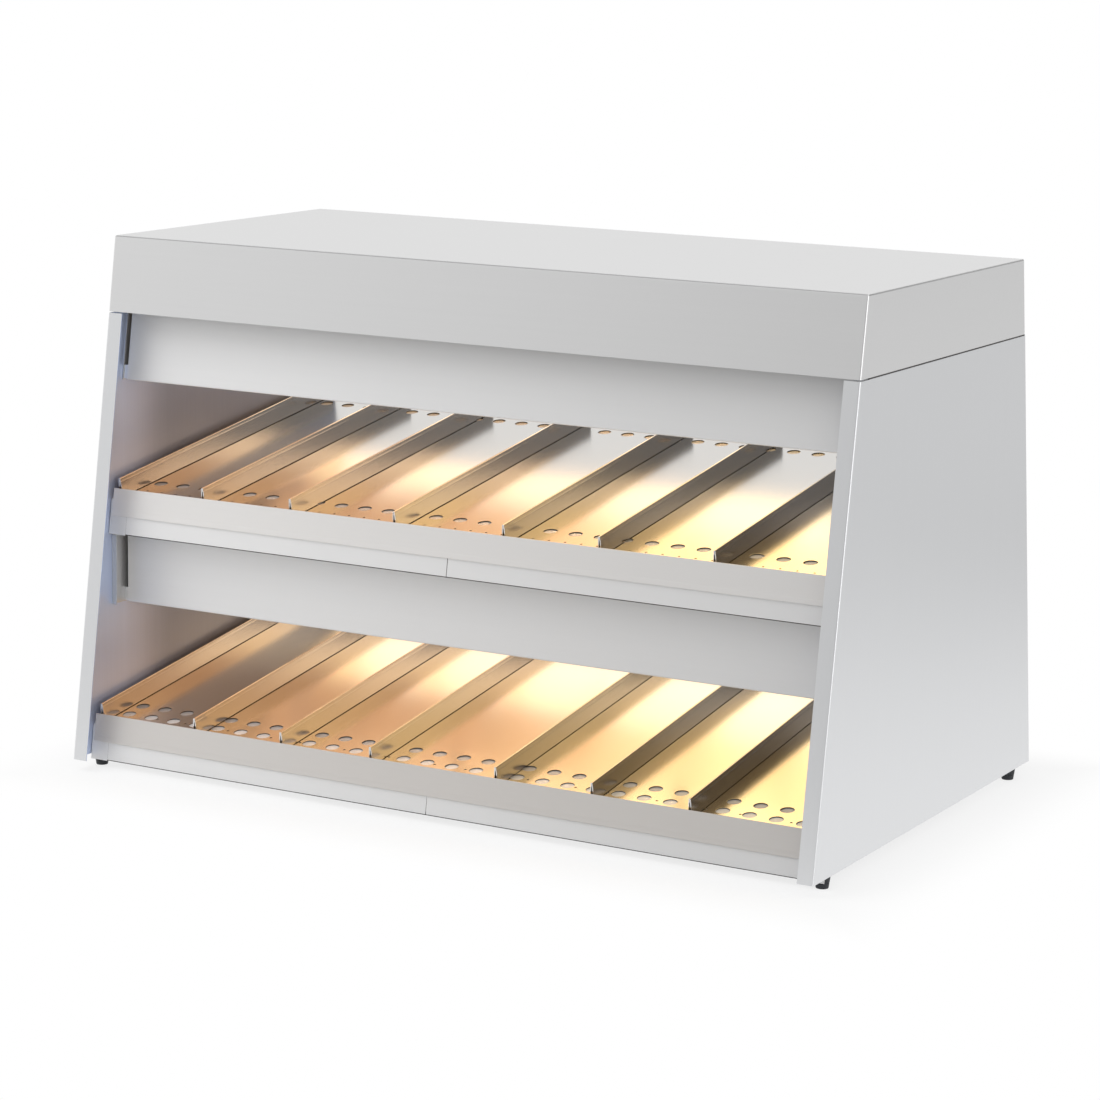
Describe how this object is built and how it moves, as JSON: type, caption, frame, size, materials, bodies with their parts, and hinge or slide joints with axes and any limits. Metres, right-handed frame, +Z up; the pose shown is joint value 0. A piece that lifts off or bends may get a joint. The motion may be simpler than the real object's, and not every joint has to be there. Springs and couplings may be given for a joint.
{
  "type": "food chute merchandiser",
  "caption": "Heated counter cabinet with two sloping, perforated chute decks, sliding lane dividers, lamp canopies, base plates under the decks and controls at the back.",
  "frame": {"origin": "on the counter, under the middle of the cabinet", "axes": "+Z up, +X along the width to the right as the customer sees it, customers stand on the -Y side and staff on the +Y side"},
  "size_m": [1.2, 0.77, 0.782],
  "materials": {
    "cabinet_steel": "fine brushed, satin",
    "deck_steel": "fine brushed, half bright",
    "divider_steel": "fine brushed, half bright",
    "inner_steel": "plain mill finish",
    "reflector_steel": "bright",
    "quartz": "clear quartz tube, glowing warm",
    "ceramic": "matt, off-white",
    "black_plastic": "matt black",
    "rubber": "matt black"
  },
  "bodies": {
    "cabinet": {"side_panel_left": "cabinet_steel", "side_panel_right": "cabinet_steel", "cap": "cabinet_steel", "foot_front_left": "rubber", "foot_front_right": "rubber", "foot_rear_left": "rubber", "foot_rear_right": "rubber", "lower_deck": "deck_steel", "lower_front_rail_left": "cabinet_steel", "lower_front_rail_right": "cabinet_steel", "lower_rear_rail": "inner_steel", "lower_support_left": "inner_steel", "lower_support_right": "inner_steel", "lower_base_plate": "inner_steel", "lower_reflector": "reflector_steel", "lower_lamp": "quartz", "lower_lamp_holder_left": "ceramic", "lower_lamp_holder_right": "ceramic", "lower_fascia": "cabinet_steel", "lower_bracket_left": "inner_steel", "lower_bracket_right": "inner_steel", "lower_divider_1": "divider_steel", "lower_divider_8": "divider_steel", "upper_deck": "deck_steel", "upper_front_rail_left": "cabinet_steel", "upper_front_rail_right": "cabinet_steel", "upper_rear_rail": "inner_steel", "upper_support_left": "inner_steel", "upper_support_right": "inner_steel", "upper_base_plate": "inner_steel", "upper_reflector": "reflector_steel", "upper_lamp": "quartz", "upper_lamp_holder_left": "ceramic", "upper_lamp_holder_right": "ceramic", "upper_fascia": "cabinet_steel", "upper_bracket_left": "inner_steel", "upper_bracket_right": "inner_steel", "upper_divider_1": "divider_steel", "upper_divider_8": "divider_steel", "terminal_box": "black_plastic", "control_panel": "cabinet_steel", "cable_gland": "black_plastic"},
    "lower_divider_2": {"lower_divider_2": "divider_steel"},
    "lower_divider_3": {"lower_divider_3": "divider_steel"},
    "lower_divider_4": {"lower_divider_4": "divider_steel"},
    "lower_divider_5": {"lower_divider_5": "divider_steel"},
    "lower_divider_6": {"lower_divider_6": "divider_steel"},
    "lower_divider_7": {"lower_divider_7": "divider_steel"},
    "upper_divider_2": {"upper_divider_2": "divider_steel"},
    "upper_divider_3": {"upper_divider_3": "divider_steel"},
    "upper_divider_4": {"upper_divider_4": "divider_steel"},
    "upper_divider_5": {"upper_divider_5": "divider_steel"},
    "upper_divider_6": {"upper_divider_6": "divider_steel"},
    "upper_divider_7": {"upper_divider_7": "divider_steel"},
    "upper_rocker_switch": {"upper_rocker_switch": "black_plastic"},
    "upper_heat_knob": {"upper_heat_knob": "black_plastic"},
    "lower_rocker_switch": {"lower_rocker_switch": "black_plastic"},
    "lower_heat_knob": {"lower_heat_knob": "black_plastic"}
  },
  "joints": [
    {"name": "lower_divider_2_slide", "type": "slide", "parent": "cabinet", "child": "lower_divider_2", "axis": [1, 0, 0], "range_m": [-0.05, 0.05]},
    {"name": "lower_divider_3_slide", "type": "slide", "parent": "cabinet", "child": "lower_divider_3", "axis": [1, 0, 0], "range_m": [-0.05, 0.05]},
    {"name": "lower_divider_4_slide", "type": "slide", "parent": "cabinet", "child": "lower_divider_4", "axis": [1, 0, 0], "range_m": [-0.05, 0.05]},
    {"name": "lower_divider_5_slide", "type": "slide", "parent": "cabinet", "child": "lower_divider_5", "axis": [1, 0, 0], "range_m": [-0.05, 0.05]},
    {"name": "lower_divider_6_slide", "type": "slide", "parent": "cabinet", "child": "lower_divider_6", "axis": [1, 0, 0], "range_m": [-0.05, 0.05]},
    {"name": "lower_divider_7_slide", "type": "slide", "parent": "cabinet", "child": "lower_divider_7", "axis": [1, 0, 0], "range_m": [-0.05, 0.05]},
    {"name": "upper_divider_2_slide", "type": "slide", "parent": "cabinet", "child": "upper_divider_2", "axis": [1, 0, 0], "range_m": [-0.05, 0.05]},
    {"name": "upper_divider_3_slide", "type": "slide", "parent": "cabinet", "child": "upper_divider_3", "axis": [1, 0, 0], "range_m": [-0.05, 0.05]},
    {"name": "upper_divider_4_slide", "type": "slide", "parent": "cabinet", "child": "upper_divider_4", "axis": [1, 0, 0], "range_m": [-0.05, 0.05]},
    {"name": "upper_divider_5_slide", "type": "slide", "parent": "cabinet", "child": "upper_divider_5", "axis": [1, 0, 0], "range_m": [-0.05, 0.05]},
    {"name": "upper_divider_6_slide", "type": "slide", "parent": "cabinet", "child": "upper_divider_6", "axis": [1, 0, 0], "range_m": [-0.05, 0.05]},
    {"name": "upper_divider_7_slide", "type": "slide", "parent": "cabinet", "child": "upper_divider_7", "axis": [1, 0, 0], "range_m": [-0.05, 0.05]},
    {"name": "upper_rocker_switch_rock", "type": "hinge", "parent": "cabinet", "child": "upper_rocker_switch", "pos_m": [0.255, 0.28172, 0.72704], "axis": [1, 0, 0], "range_deg": [0, 16]},
    {"name": "upper_heat_knob_turn", "type": "hinge", "parent": "cabinet", "child": "upper_heat_knob", "pos_m": [0.375, 0.28142, 0.727], "axis": [0, 0.9895, 0.1444], "range_deg": [0, 270]},
    {"name": "lower_rocker_switch_rock", "type": "hinge", "parent": "cabinet", "child": "lower_rocker_switch", "pos_m": [0.295, 0.28172, 0.72704], "axis": [1, 0, 0], "range_deg": [0, 16]},
    {"name": "lower_heat_knob_turn", "type": "hinge", "parent": "cabinet", "child": "lower_heat_knob", "pos_m": [0.445, 0.28142, 0.727], "axis": [0, 0.9895, 0.1444], "range_deg": [0, 270]}
  ]
}
